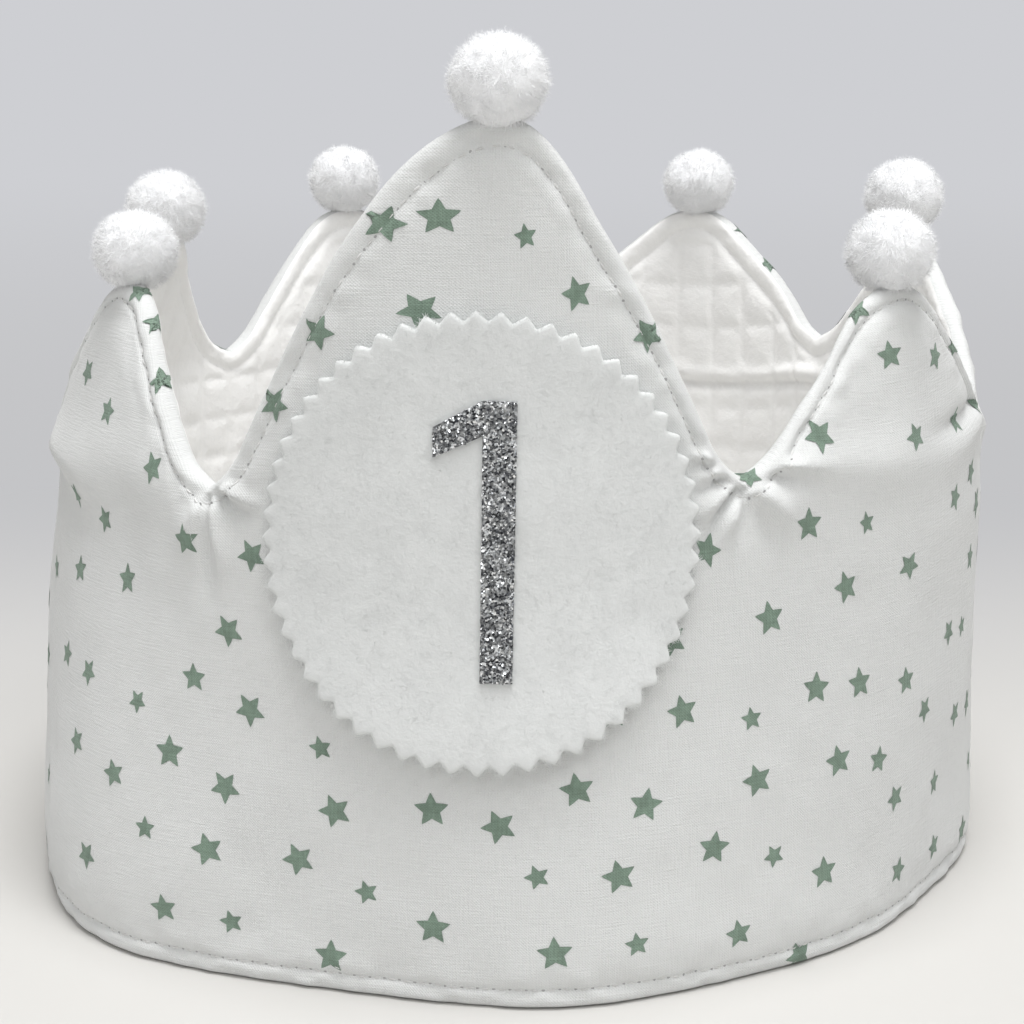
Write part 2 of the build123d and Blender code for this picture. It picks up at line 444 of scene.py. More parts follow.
def new_object(name, verts, faces, material, uvs=None):
    """A smooth-shaded mesh object with one material, and its UVs per vertex if given."""
    mesh = bpy.data.meshes.new(name)
    mesh.from_pydata([tuple(v) for v in verts], [], [tuple(int(i) for i in f) for f in faces])
    mesh.validate()
    mesh.update()
    if uvs is not None:
        layer = mesh.uv_layers.new(name="cloth")
        index = np.empty(len(mesh.loops), dtype=np.int32)
        mesh.loops.foreach_get("vertex_index", index)
        layer.data.foreach_set("uv", np.asarray(uvs)[index].astype(np.float32).ravel())
    mesh.polygons.foreach_set("use_smooth", [True] * len(mesh.polygons))
    mesh.materials.append(material)
    return into_scene(bpy.data.objects.new(name, mesh))


def ring_sheet(name, rows, material, flip):
    """A closed band of quads through rows of (s, z, depth)."""
    count = len(rows[0][0])
    verts = np.concatenate([place(*row) for row in rows])
    uvs = np.concatenate([np.stack(row[:2], -1) for row in rows]) * MM
    i = np.arange(count)
    k = (i + 1) % count
    quad = np.stack([i, k, k + count, i + count], -1)[:, :: -1 if flip else 1]
    faces = np.concatenate([quad + j * count for j in range(len(rows) - 1)])
    obj = new_object(name, verts, faces, material, uvs)
    # The column of quads that closes the ring has its far side a whole round on
    layer = obj.data.uv_layers["cloth"].data
    values = np.empty(len(layer) * 2, dtype=np.float32)
    layer.foreach_get("uv", values)
    pairs = values.reshape(-1, 4, 2)
    wide = np.ptp(pairs[:, :, 0], 1) > ROUND * MM / 2
    pairs[wide, :, 0] += np.where(pairs[wide, :, 0] < 0, ROUND * MM, 0)
    layer.foreach_set("uv", pairs.ravel())
    return obj


def surface_of(obj):
    """A search tree over an object's mesh."""
    mesh = obj.data
    return BVHTree.FromPolygons([v.co for v in mesh.vertices], [p.vertices for p in mesh.polygons])


# Materials

# The cover's white is set low and the lining's high: partly their own cloths, partly painted
# light, for the inside of the crown being lit brighter than the outside
COTTON_WHITE = (0.725, 0.735, 0.73)
STAR_GREEN = (0.20, 0.275, 0.218)
WAFFLE_WHITE = (0.97, 0.967, 0.955)
FELT_WHITE = (0.725, 0.74, 0.735)
THREAD_PITCH = 0.00042
FLAKE = 0.0003


def new_material(name, color, roughness, sheen=0.0, specular=0.25):
    """A Principled material and its shader node."""
    material = bpy.data.materials.new(name)
    material.use_nodes = True
    shader = material.node_tree.nodes["Principled BSDF"]
    shader.inputs["Base Color"].default_value = (*color, 1)
    shader.inputs["Roughness"].default_value = roughness
    shader.inputs["Specular IOR Level"].default_value = specular
    shader.inputs["Sheen Weight"].default_value = sheen
    return material, shader


def add(material, kind, inputs=None, **settings):
    """A shader node with its settings, and its inputs as values or as sockets to link."""
    made = material.node_tree.nodes.new("ShaderNode" + kind)
    for key, value in settings.items():
        setattr(made, key, value)
    for key, value in (inputs or {}).items():
        join(material, value, made.inputs[key])
    return made


def join(material, value, socket):
    if isinstance(value, bpy.types.NodeSocket):
        material.node_tree.links.new(value, socket)
    else:
        socket.default_value = value


def maths(material, operation, first, second=0.0, third=0.0):
    inputs = {0: first, 1: second, 2: third}
    return add(material, "Math", inputs, operation=operation).outputs[0]


def cloth_place(material):
    """The cloth's own coordinates in metres, along the ring and up."""
    return add(material, "UVMap", uv_map="cloth").outputs["UV"]


def object_place(material):
    return add(material, "TexCoord").outputs["Object"]


def stretched_noise(material, where, scales, detail=3.0):
    """Noise that is longer along one direction of the cloth, as slubs in a thread are."""
    spread = add(material, "Mapping", {"Vector": where, "Scale": scales})
    inputs = {"Vector": spread.outputs[0], "Scale": 1.0, "Detail": detail, "Roughness": 0.6}
    return add(material, "TexNoise", inputs).outputs["Fac"]


def surfaced(material, shader, color, mottle, spread, height, strength, distance):
    """Lets the base colour vary with one socket, and the bump follow another."""
    low = [c * (1 - spread) for c in color] + [1]
    high = [min(c * (1 + spread), 1) for c in color] + [1]
    tint = add(material, "Mix", {0: mottle, 6: low, 7: high}, data_type="RGBA").outputs[2]
    relief = {"Height": height, "Strength": strength, "Distance": distance}
    join(material, tint, shader.inputs["Base Color"])
    join(material, add(material, "Bump", relief).outputs["Normal"], shader.inputs["Normal"])
    return material


def cotton_material(name, color, spread):
    """A plain weave, thread over thread, with slubs."""
    material, shader = new_material(name, color, 0.85, sheen=0.15)
    here = cloth_place(material)
    parts = add(material, "SeparateXYZ", {"Vector": here}).outputs
    turns = [maths(material, "MULTIPLY", parts[k], 2 * math.pi / THREAD_PITCH) for k in (0, 1)]
    weave = maths(material, "MULTIPLY", *(maths(material, "SINE", turn) for turn in turns))
    along = stretched_noise(material, here, (260, 3400, 1))
    across = stretched_noise(material, here, (3400, 260, 1))
    weave = maths(material, "MULTIPLY_ADD", weave, 0.18, maths(material, "ADD", along, across))
    mottle = stretched_noise(material, here, (420, 420, 1), 5.0)
    mottle = maths(material, "MULTIPLY_ADD", weave, 0.7, maths(material, "SUBTRACT", mottle, 0.7))
    return surfaced(material, shader, color, mottle, spread, weave, 0.6, 0.0002)


def waffle_material():
    material, shader = new_material("waffle_cotton", WAFFLE_WHITE, 0.9, sheen=0.2)
    tufts = stretched_noise(material, cloth_place(material), (800, 800, 1), 5.0)
    return surfaced(material, shader, WAFFLE_WHITE, tufts, 0.02, tufts, 0.5, 0.0004)


def felt_material():
    material, shader = new_material("white_felt", FELT_WHITE, 0.95, sheen=0.3)
    here = cloth_place(material)
    swirl = {"Vector": here, "Scale": 150.0, "Detail": 7.0, "Roughness": 0.75, "Distortion": 0.6}
    clumps = add(material, "TexNoise", swirl).outputs["Fac"]
    hairs = stretched_noise(material, here, (1500, 1500, 1), 4.0)
    height = maths(material, "MULTIPLY_ADD", clumps, 0.9, hairs)
    return surfaced(material, shader, FELT_WHITE, clumps, 0.13, height, 0.35, 0.00025)


def fibre_material(name, color, finish, scale, spread, strength, distance):
    """Thread, tape and fluff: a fine noise bump and a little variation."""
    material, shader = new_material(name, color, *finish)
    inputs = {"Vector": object_place(material), "Scale": scale, "Detail": 4.0}
    grain = add(material, "TexNoise", inputs).outputs[0]
    return surfaced(material, shader, color, grain, spread, grain, strength, distance)


def glitter_material():
    """Silver flakes, each facing its own way, with painted glints and painted shade: a random
    brightness each.
    """
    material, shader = new_material("silver_glitter", (0.5, 0.5, 0.5), 0.2, specular=0.5)
    shader.inputs["Metallic"].default_value = 0.72
    cells = {"Vector": object_place(material), "Scale": 1 / FLAKE, "Randomness": 1.0}
    flake_cell = add(material, "TexVoronoi", cells).outputs["Color"]

    def vector(operation, inputs):
        return add(material, "VectorMath", inputs, operation=operation).outputs[0]

    tilt = vector("SCALE", {0: vector("SUBTRACT", {0: flake_cell, 1: (0.5, 0.5, 0.5)}), "Scale": 1.5})
    facing = add(material, "NewGeometry").outputs["Normal"]
    turned = vector("NORMALIZE", {0: vector("ADD", {0: facing, 1: tilt})})
    join(material, turned, shader.inputs["Normal"])
    # A random brightness per flake, from near black to white: painted glints and painted shade,
    # for flakes that catch the lamps and flakes that don't
    ramp = add(material, "ValToRGB")
    ramp.color_ramp.elements[0].color = (0.06, 0.065, 0.08, 1)
    ramp.color_ramp.elements[1].color = (1.0, 1.0, 1.0, 1)
    for spot, shade in ((0.45, 0.25), (0.72, 0.48), (0.80, 0.95)):
        ramp.color_ramp.elements.new(spot).color = (shade, shade * 1.03, shade * 1.05, 1)
    join(material, add(material, "SeparateXYZ", {"Vector": flake_cell}).outputs[0], ramp.inputs[0])
    join(material, ramp.outputs[0], shader.inputs["Base Color"])
    return material


printed_cotton = cotton_material("printed_cotton", COTTON_WHITE, 0.02)
star_print = cotton_material("star_print", STAR_GREEN, 0.4)
waffle_cotton = waffle_material()
white_felt = felt_material()
silver_glitter = glitter_material()
pom_pom_fibre = fibre_material(
    "pom_pom_fibre", (0.915, 0.92, 0.93), (0.95, 0.4, 0.1), 1500.0, 0.04, 0.25, 0.0003
)
sewing_thread, inner_thread, needle_hole_shade, fastening_tape = (
    fibre_material(name, color, (0.8, 0.1), scale, 0.08, 0.6, distance)
    for name, color, scale, distance in (
        ("sewing_thread", (0.70, 0.70, 0.69), 4000.0, 0.0001),
        # The needle's punctures: dark grey, painted shade where the thread dips into the cloth
        ("inner_thread", (0.95, 0.945, 0.93), 4000.0, 0.0001),
        ("needle_hole_shade", (0.40, 0.40, 0.40), 3000.0, 0.0001),
        ("fastening_tape", (0.78, 0.78, 0.77), 2600.0, 0.0005),
    )
)


# The wall

COLUMN_STEP = 0.95
OUTER_BANDS = [1.55, 1.85, 2.15, 2.4, 2.65, 2.9, 3.15, 3.45, 3.9, 4.6, 5.6]
INNER_BANDS = [1.6, 2.2, 2.8, 3.2, 3.6, 4.0, 4.4, 5.0, 5.6]
edge = resampled_outline(COLUMN_STEP)
outer = wall_rows(edge, outer_relief, OUTER_BANDS, 68, np.linspace(SEAM_ANGLE, 72, 8))
cover = ring_sheet("cover_cloth", outer, printed_cotton, True)
inner = wall_rows(edge, inner_relief, INNER_BANDS, 80, np.linspace(SEAM_ANGLE, -75, 4))
lining = ring_sheet("lining_cloth", inner, waffle_cotton, False)

# Printed stars by radius: (s, z, turn in degrees) over a quarter of the ring's length
LARGE, MIDDLE, SMALL = 2.65, 2.3, 1.9
STARS = {
    LARGE: [
        (-60.1, 56.2, 10), (-53.6, 74.5, 24), (-48.4, 32.4, 4), (-45.9, 65.1, 8),
        (-41.2, 19.1, 20), (-38.8, 28.7, 38), (-38.8, 52, 30), (-35.1, 40.6, 34),
        (-34.7, 63.8, 28), (-30.8, 85.7, 44), (-27.4, 19.4, 26), (-23.9, 95.9, 50),
        (-22.4, 5.5, 0), (-21.8, 27.3, 22), (-14.8, 110.8, 54), (-9.3, 99.2, 30), (-7.8, 28.7, 4),
        (-7.5, 11.6, 0), (-6.1, 111.8, 2), (1.5, 26.8, 24), (8.9, 8.6, 4), (12.1, 32, 10),
        (12.4, 101.3, 16), (16.9, 42.6, 8), (17.7, 19.2, 12), (21.7, 29.1, 60), (22.6, 95.1, 32),
        (25.9, 52.2, 20), (27.4, 41.9, 10), (31.5, 64.1, 50), (32, 21.3, 62), (39.1, 30.2, 14),
        (41.3, 53.5, 6), (46.7, 1.5, 18), (48.1, 65.9, 2), (49.6, 42.2, 64), (50.6, 78.3, 28),
        (51.2, 13.7, 2), (53.8, 30.4, 8), (55.4, 56.1, 16), (58.2, 41.4, 0), (61.5, 96, 22),
        (-21.5, 59.5, 33), (-19.5, 85, 12), (-11, 50, 20), (-8.5, 79, 66), (3, 55.5, 5),
        (4.5, 70.5, 30), (13, 62, 48), (15, 80.5, 9), (20.5, 84, 35), (38.5, 97, 40),
        (44, 88.5, 11), (-44, 93.5, 36),
    ],
    MIDDLE: [
        (-52.9, 95.8, 60), (-47.9, 9, 12), (-52, 87.6, 30), (-44.8, 44, 2), (35.8, 7.7, 8),
        (-56.2, 86.8, 45),
    ],
    SMALL: [
        (-55.1, 38.7, 40), (-51.7, 20.4, 5), (-37.5, 8.6, 16), (-24, 36.3, 12), (-17.1, 15.8, 18),
        (5.3, 109.2, 10), (6.6, 19.7, 20), (20.1, 9, 6), (38.6, 73.6, 30), (38.3, 39.4, 4),
        (42, 18.2, 26), (60, 65, 10), (-24.6, 50.5, 8), (-18.5, 74, 50), (-6.5, 62.5, 41),
        (2.5, 43.5, 15), (1, 87, 25), (23.5, 72, 20), (34.5, 86.5, 3), (53.5, 89.5, 19),
        (-45, 82, 13), (-36, 95, 27),
    ],
}
# Those at the sides, which stand in for the repeated ones from SIDE_FROM to SIDE_TO
SIDE_FROM, SIDE_TO = 58.0, 98.0
SIDE_STARS = {
    MIDDLE: [
        (-58.6, 27.1, 20), (-88, 6, 30), (-61.6, 94.6, 40), (-94.8, 35.5, 0), (-90.1, 51.4, 17),
        (-77.5, 84.5, 34), (-76.4, 65.8, 51), (-76.1, 41, 68), (-73.6, 54.8, 13), (-69, 29.3, 30),
        (-67.5, 40.4, 47), (-67.5, 80.1, 64), (-67.1, 98, 9), (-66.5, 64, 26), (-63.5, 13.2, 43),
        (62.6, 28.5, 60), (65.2, 88.8, 5), (67.6, 21.1, 22), (69.2, 56.9, 39), (69.3, 8.8, 56),
        (69.8, 39.1, 1), (70.5, 76.3, 18), (76.4, 32.8, 35), (79.8, 86.9, 52), (82.6, 19, 69),
        (83.6, 8, 14), (85.8, 42.8, 31), (85.9, 63.9, 48), (88.2, 75.3, 65), (90.5, 86.3, 10),
        (90.6, 28.1, 27), (95.1, 65.5, 44), (97, 51.9, 61),
    ],
    SMALL: [
        (-84, 19, 8), (93, 42, 12),
    ],
}
STAR_WAIST = 0.47
STAR_SIDE = 3
REPEATS = 4
# How a star is laid on flat cloth and on the rim: (rings of points, lift off the cloth)
FLAT_PRINT = (3, 0.05)
RIM_PRINT = (8, 0.11)
RIM_REGION = 6.0
OFF_CLOTH = -1.7

fine_s, fine_z = edge_outline()
fine_ns, fine_nz = inward(fine_s, fine_z)


def star_list(table):
    return [(s, z, radius, turn) for radius, spots in table.items() for s, z, turn in spots]


def nearest_edge(s, z):
    """The nearest place on the upper edge to each point, and how far inside it that is."""
    ds = wrapped(s[:, None] - fine_s[None, :], ROUND)
    dz = z[:, None] - fine_z[None, :]
    index = np.argmin(ds * ds + dz * dz, 1)
    rows = np.arange(len(s))
    return index, ds[rows, index] * fine_ns[index] + dz[rows, index] * fine_nz[index]


def over_rim(s, z):
    """Places on the cover, which rolls over the rim where a point passes the edge."""
    index, reach = nearest_edge(s, z)
    lower = z < reach
    reach = np.where(lower, z, reach)
    turn = np.radians(np.clip(32.7 + 57.3 * reach / RIM_REACH, SEAM_ANGLE + 1, 90))
    step = RIM_REACH * (1 - np.cos(turn))
    rim_s = np.where(lower, s, fine_s[index] + fine_ns[index] * step)
    rim_z = np.where(lower, step, fine_z[index] + fine_nz[index] * step)
    rim_depth = WALL / 2 - rim_bulge(rim_s, rim_z) * swell(turn)
    on_rim = reach < RIM_REACH
    depth = np.where(on_rim, rim_depth, outer_relief(s, z, np.maximum(reach, RIM_REACH)))
    return place(np.where(on_rim, rim_s, s), np.where(on_rim, rim_z, z), depth)


def on_surface(tree, points, lift):
    """The points laid on a mesh, lifted a little off it, in metres."""
    laid = []
    for point in points:
        where, normal, _, _ = tree.find_nearest(Vector(point))
        laid.append(where + normal * lift * MM)
    return laid


def star_grid(radius, turn, rings):
    """Points of a five-pointed star in rings, and its triangles."""
    k = np.arange(10)
    reach = np.where(k % 2 == 0, radius, radius * STAR_WAIST)
    angle = math.radians(turn) + math.pi / 2 + k * math.pi / 5
    corners = np.stack([reach * np.cos(angle), reach * np.sin(angle)], -1)
    share = np.arange(STAR_SIDE)[:, None] / STAR_SIDE
    outline = corners[:, None] * (1 - share) + np.roll(corners, -1, 0)[:, None] * share
    outline[::2, 0] *= 0.95
    outline = outline.reshape(-1, 2)
    points = [np.zeros((1, 2))] + [outline * ring / rings for ring in range(1, rings + 1)]
    count = len(outline)
    i = np.arange(count)
    k = (i + 1) % count
    faces = [np.stack([0 * i, 1 + i, 1 + k], -1)]
    for ring in range(rings - 1):
        a, b = 1 + ring * count, 1 + (ring + 1) * count
        faces.append(np.stack([a + i, b + i, b + k, a + i, b + k, a + k], -1).reshape(-1, 3))
    return np.concatenate(points), np.concatenate(faces)


def print_stars(name, tree, spots, locate):
    """Stars laid on a mesh, from (s, z, radius, turn, rings, lift) and places near it."""
    verts, faces, uvs = [], [], []
    for s, z, radius, turn, rings, lift in spots:
        grid, triangles = star_grid(radius, turn, rings)
        ps, pz = s + grid[:, 0], z + grid[:, 1]
        faces.append(triangles + len(verts))
        verts += on_surface(tree, locate(ps, pz), lift)
        uvs.append(np.stack([ps, pz], -1) * MM)
    return new_object(name, verts, np.concatenate(faces), star_print, np.concatenate(uvs))


def cover_spots():
    """The stars of the cover: they repeat round the ring, but not at its sides."""
    printed = star_list(SIDE_STARS)
    for repeat in range(REPEATS):
        for s, z, radius, turn in star_list(STARS):
            s = wrapped(s + repeat * ROUND / REPEATS, ROUND)
            if repeat == 0 or not SIDE_FROM < abs(s) < SIDE_TO:
                printed.append((s, z, radius, turn))
    spots = []
    for s, z, radius, turn in printed:
        s = s - length_to(shift(np.array([azimuth_at(s)]), np.array([z]))[0])
        reach = nearest_edge(np.array([s]), np.array([z]))[1][0]
        if reach >= OFF_CLOTH:
            laid = RIM_PRINT if reach < RIM_REGION else FLAT_PRINT
            spots.append((s, z, radius, turn, *laid))
    return spots


stars = print_stars("printed_stars", surface_of(cover), cover_spots(), over_rim)

# Topstitching
STITCH_LENGTH = 0.70
STITCH_STATIONS = 4
THREAD_RADIUS = 0.20
THREAD_SIDES = 5
# Dark discs at the needle's punctures: painted shade, where the thread dips into the cloth
SHADE_DISC_RADIUS = 0.27
SHADE_DISC_SIDES = 8
SHADE_DISC_LIFT = 0.03
SINK = 0.14
OUTER_RISE, INNER_RISE = 0.18, 0.08
LOW_STEPS = 900


def thread_tubes(middle, off):
    """Closed tubes of thread along rows of points, off being the ways off the cloth."""
    side = np.cross(unit(middle[:, -1] - middle[:, 0])[:, None], off)
    t = np.linspace(0, 1, STITCH_STATIONS)
    size = (THREAD_RADIUS * (0.55 + 0.45 * np.sin(math.pi * t)) * MM)[:, None, None]
    i = np.arange(THREAD_SIDES)
    turn = 2 * math.pi * i[:, None] / THREAD_SIDES
    way = off[:, :, None] * np.cos(turn) + side[:, :, None] * np.sin(turn)
    verts = (middle[:, :, None] + way * size).reshape(-1, 3)
    quad = np.stack([i, (i + 1) % THREAD_SIDES], -1)
    quad = np.concatenate([quad, quad[:, ::-1] + THREAD_SIDES], 1)
    faces = [face for k in range(STITCH_STATIONS - 1) for face in quad + k * THREAD_SIDES]
    faces += [i[::-1], i + (STITCH_STATIONS - 1) * THREAD_SIDES]
    each = STITCH_STATIONS * THREAD_SIDES
    return verts, [face + stitch * each for stitch in range(len(middle)) for face in faces]


def painted_shade_discs(middle, off):
    """Small dark discs where the needle went in: painted shade where the needle pierced the cloth.
    """
    side = unit(np.cross([0, 0, 1.0], off))
    up = np.cross(off, side)
    i = np.arange(SHADE_DISC_SIDES)
    turn = 2 * math.pi * i[:, None] / SHADE_DISC_SIDES
    way = side[:, None] * np.cos(turn) + up[:, None] * np.sin(turn)
    rims = middle[:, None] + way * SHADE_DISC_RADIUS * MM
    centres = (middle + off * SHADE_DISC_LIFT * MM)[:, None]
    disc = np.stack([0 * i, 1 + i, 1 + (i + 1) % SHADE_DISC_SIDES], -1)
    faces = [disc + k * (SHADE_DISC_SIDES + 1) for k in range(len(middle))]
    return np.concatenate([centres, rims], 1).reshape(-1, 3), np.concatenate(faces)


def stitch_row(line, inset, relief, out):
    """Places along one edge of one face, and the ways off it: of dashes and of the painted shade
    discs where the needle went in.
    """
    s, z, ns, nz = line
    reach = inset(s, z)
    around = closed(s + ns * reach, z + nz * reach)
    arc = arc_lengths(np.hypot(*np.diff(around)))
    count = round(arc[-1] / STITCH_PITCH)
    pitch = arc[-1] / count

    def on_cloth(at, rise):
        s, z = (np.interp(at % arc[-1], arc, part) for part in around)
        depth = relief(s, z, inset(s, z)) - out * rise
        here = place(s, z, depth)
        return here, unit(place(s, z, depth - 0.5 * out) - here)

    t = np.linspace(0, 1, STITCH_STATIONS)
    start = np.arange(count)[:, None] * pitch + (0 if out > 0 else pitch / 2)
    rise = (OUTER_RISE if out > 0 else INNER_RISE) * np.sin(math.pi * t) - SINK
    dashes = on_cloth(start + t * STITCH_LENGTH * pitch, rise)
    return dashes, on_cloth(start[:, 0] + (STITCH_LENGTH + 1) / 2 * pitch, SHADE_DISC_LIFT)


def sew(name, inset, relief, out, material):
    """The rows of dashes on one face of the wall, and where the needle went in, for the painted
    shade discs.
    """
    low = lower_edge(np.linspace(-ROUND / 2, ROUND / 2, LOW_STEPS, endpoint=False))
    rows = zip(*(stitch_row(line, inset, relief, out) for line in (edge, low)))
    dashes, shade_disc_spots = ([np.concatenate(parts) for parts in zip(*both)] for both in rows)
    return new_object(name, *thread_tubes(*dashes), material), shade_disc_spots


topstitching, shade_disc_spots = sew("topstitching", stitch_inset, outer_relief, 1, sewing_thread)
inner_topstitching, _ = sew("inner_topstitching", inner_inset, inner_relief, -1, inner_thread)
# Painted shade: a dark disc where the needle went in, between the outer stitches
needle_shade_discs = new_object("needle_shade_discs", *painted_shade_discs(*shade_disc_spots), needle_hole_shade)

# Flat cloth pieces laid on the wall: rings of points from the middle of the front,
# round the edge and back to the middle of the back


def laid_piece(name, middle, outline, rows, material):
    """rows are (share of the outline's reach, depth of each of its points)."""
    spots = [middle + (outline - middle) * share for share, _ in rows]
    s, z = np.concatenate([[middle], *spots, [middle]]).T
    depths = [depth for _, depth in rows]
    depth = np.concatenate([[depths[0].mean()], *depths, [depths[-1].mean()]])
    count = len(outline)
    i = np.arange(count)
    k = (i + 1) % count
    faces = [*np.stack([0 * i, 1 + i, 1 + k], -1)]
    for row in range(len(rows) - 1):
        faces += [*(np.stack([i, i + count, k + count, k], -1) + 1 + row * count)]
    last = 1 + (len(rows) - 1) * count
    faces += [*np.stack([0 * i + len(s) - 1, last + k, last + i], -1)]
    laid = place(s, z, depth, steady=True)
    return new_object(name, laid, faces, material, np.stack([s, z], -1) * MM)


BADGE_RADIUS = 32.4
BADGE_WIDTH = 0.96
BADGE_MIDDLE = -1.3
BADGE_HEIGHT = 67.05
BADGE_BACK = 0.05
BADGE_THICKNESS = 1.4
BADGE_FRONT = BADGE_BACK + BADGE_THICKNESS
TOOTH_COUNT = 56
TOOTH_DEPTH = 1.6
TOOTH_STEPS = 4
FELT_FIBRES = 5000
FELT_EDGE_FIBRES = 4200


def badge_stand_off(s, z):
    """How far the felt lifts off the cloth: most along its lower edge, in soft waves."""
    fall = (BADGE_HEIGHT - z) / BADGE_RADIUS
    reach = np.hypot(s, z - BADGE_HEIGHT) / BADGE_RADIUS
    lift = 0.9 * smooth(0.3, 1.0, fall) + 0.25 * smooth(0.6, 1.0, reach)
    wave = 0.16 * soft_noise(s, z, 17, 21) + 0.05 * soft_noise(s, z, 5, 22)
    return lift + wave


def on_badge(reach, angle):
    """Places (s, z) on the oval felt, at an angle and a reach from its middle."""
    s = BADGE_MIDDLE + BADGE_WIDTH * reach * np.cos(angle)
    return np.stack([s, BADGE_HEIGHT + reach * np.sin(angle)], -1)


def pinked_outline():
    """The badge's outline, with its teeth a little blunt."""
    k = np.arange(2 * TOOTH_COUNT)[:, None]
    share = np.arange(TOOTH_STEPS) / TOOTH_STEPS
    dip = k % 2 * (1 - share) + (k + 1) % 2 * share
    outline = on_badge(BADGE_RADIUS - TOOTH_DEPTH * dip, math.pi * (k + share) / TOOTH_COUNT)
    outline = outline.reshape(-1, 2)
    soft = (np.roll(outline, 1, 0) + np.roll(outline, -1, 0)) / 4
    return outline * 0.7 + soft * 0.6


def make_badge(outline):
    middle = np.array([BADGE_MIDDLE, BADGE_HEIGHT])
    steps = [(share, BADGE_FRONT) for share in np.linspace(0.02, 0.95, 34)]
    for share, sink in ((0.98, 0.02), (0.992, 0.10), (0.998, 0.25), (1.0, 0.45)):
        steps.append((share, BADGE_FRONT - sink))
    steps += [(1.0, 0.4), (0.994, 0.15), (0.98, BADGE_BACK), (0.5, BADGE_BACK)]
    rows = []
    for share, out in steps:
        s, z = (middle + (outline - middle) * share).T
        rows.append((share, -(out + badge_stand_off(s, z))))
    return laid_piece("felt_badge_cloth", middle, outline, rows, white_felt)


def make_felt_fibres(outline):
    """Short loose fibres that lie on the felt and stand out round its pinked edge."""
    rng = np.random.default_rng(61)
    reach = BADGE_RADIUS * 0.95 * np.sqrt(rng.uniform(0, 1, FELT_FIBRES))
    s, z = on_badge(reach, rng.uniform(0, 2 * math.pi, FELT_FIBRES)).T
    way = 2 * math.pi * soft_noise(s, z, 7, 62) + rng.normal(0, 0.7, FELT_FIBRES)
    length = rng.uniform(0.5, 1.3, FELT_FIBRES)
    spots = outline[rng.integers(0, len(outline), FELT_EDGE_FIBRES)]
    out = np.arctan2(spots[:, 1] - BADGE_HEIGHT, spots[:, 0] - BADGE_MIDDLE)
    s = np.concatenate([s, spots[:, 0] - 0.25 * np.cos(out)])
    z = np.concatenate([z, spots[:, 1] - 0.25 * np.sin(out)])
    way = np.concatenate([way, out + rng.normal(0, 0.7, FELT_EDGE_FIBRES)])
    length = np.concatenate([length, rng.uniform(0.4, 1.0, FELT_EDGE_FIBRES)])
    sink = np.concatenate([np.zeros(FELT_FIBRES), rng.uniform(0.15, 1.1, FELT_EDGE_FIBRES)])
    count = len(s)
    width = rng.uniform(0.016, 0.034, count)
    bend = rng.normal(0, 0.5, count)
    rows = []
    for share, lift, taper in ((0.0, 0.0, 1.0), (0.5, 0.10, 1.0), (1.0, 0.05, 0.4)):
        turn = way + bend * share
        ps, pz = s + length * share * np.cos(turn), z + length * share * np.sin(turn)
        for side in (-1, 1):
            qs = ps - side * width * taper * np.sin(way)
            qz = pz + side * width * taper * np.cos(way)
            depth = BADGE_FRONT + lift - sink + badge_stand_off(qs, qz)
            rows.append(place(qs, qz, -depth, steady=True))
    faces = 6 * np.arange(count)[:, None, None] + [(0, 2, 3, 1), (2, 4, 5, 3)]
    verts = np.stack(rows, 1).reshape(-1, 3)
    uvs = np.stack([np.repeat(s, 6), np.repeat(z, 6)], -1) * MM
    return new_object("felt_fibres", verts, faces.reshape(-1, 4), white_felt, uvs)


badge_outline = pinked_outline()
badge = make_badge(badge_outline)
felt_fibres = make_felt_fibres(badge_outline)

# The number: a stem and a flag, as corners (x, z) seen from the front
STEM = [(-0.35, 87.2), (4.4, 87.0), (3.5, 48.0), (-0.95, 48.0)]
FLAG = [(-7.3, 83.5), (-0.30, 87.2), (-0.40, 82.4), (-7.3, 79.4)]
NUMBER_RADIUS = 79.5
NUMBER_LIFT = 0.55
GLITTER_GRID = 0.5
FLAKE_SIZE = 0.33
FLAKES_PER_MM2 = 9.0


def number_place(flat, lift):
    """World points on the badge's face, from rows of (across, up)."""
    s, z = np.arcsin(flat[:, 0] / NUMBER_RADIUS) * VALLEY_RADIUS, flat[:, 1]
    return place(s, z, -(BADGE_FRONT + lift + badge_stand_off(s, z)), steady=True)


def between(corners, u, v):
    a, b, c, d = (np.array(corner) for corner in corners)
    u, v = u[..., None], v[..., None]
    return (a * (1 - u) + b * u) * (1 - v) + (d * (1 - u) + c * u) * v


def film_block(corners, verts, faces):
    """A thin raised block over four corners, open at the back."""
    wide, tall = (
        max(3, int(math.dist(corners[0], corner) / GLITTER_GRID)) for corner in corners[1::2]
    )
    u, v = np.meshgrid(np.linspace(0, 1, wide + 1), np.linspace(0, 1, tall + 1))
    flat = between(corners, u, v)
    start = len(verts)
    verts += list(number_place(flat.reshape(-1, 2), NUMBER_LIFT))
    index = start + np.arange(flat.shape[0] * flat.shape[1]).reshape(flat.shape[:2])
    quads = [index[:-1, :-1], index[1:, :-1], index[1:, 1:], index[:-1, 1:]]
    faces += [*np.stack(quads, -1).reshape(-1, 4)]
    ring = [(0, i) for i in range(wide)] + [(j, wide) for j in range(tall)]
    ring += [(tall, i) for i in range(wide, 0, -1)] + [(j, 0) for j in range(tall, 0, -1)]
    foot = len(verts)
    verts += list(number_place(np.array([flat[spot] for spot in ring]), -0.05))
    for k, spot in enumerate(ring):
        after = (k + 1) % len(ring)
        faces.append((index[spot], index[ring[after]], foot + after, foot + k))


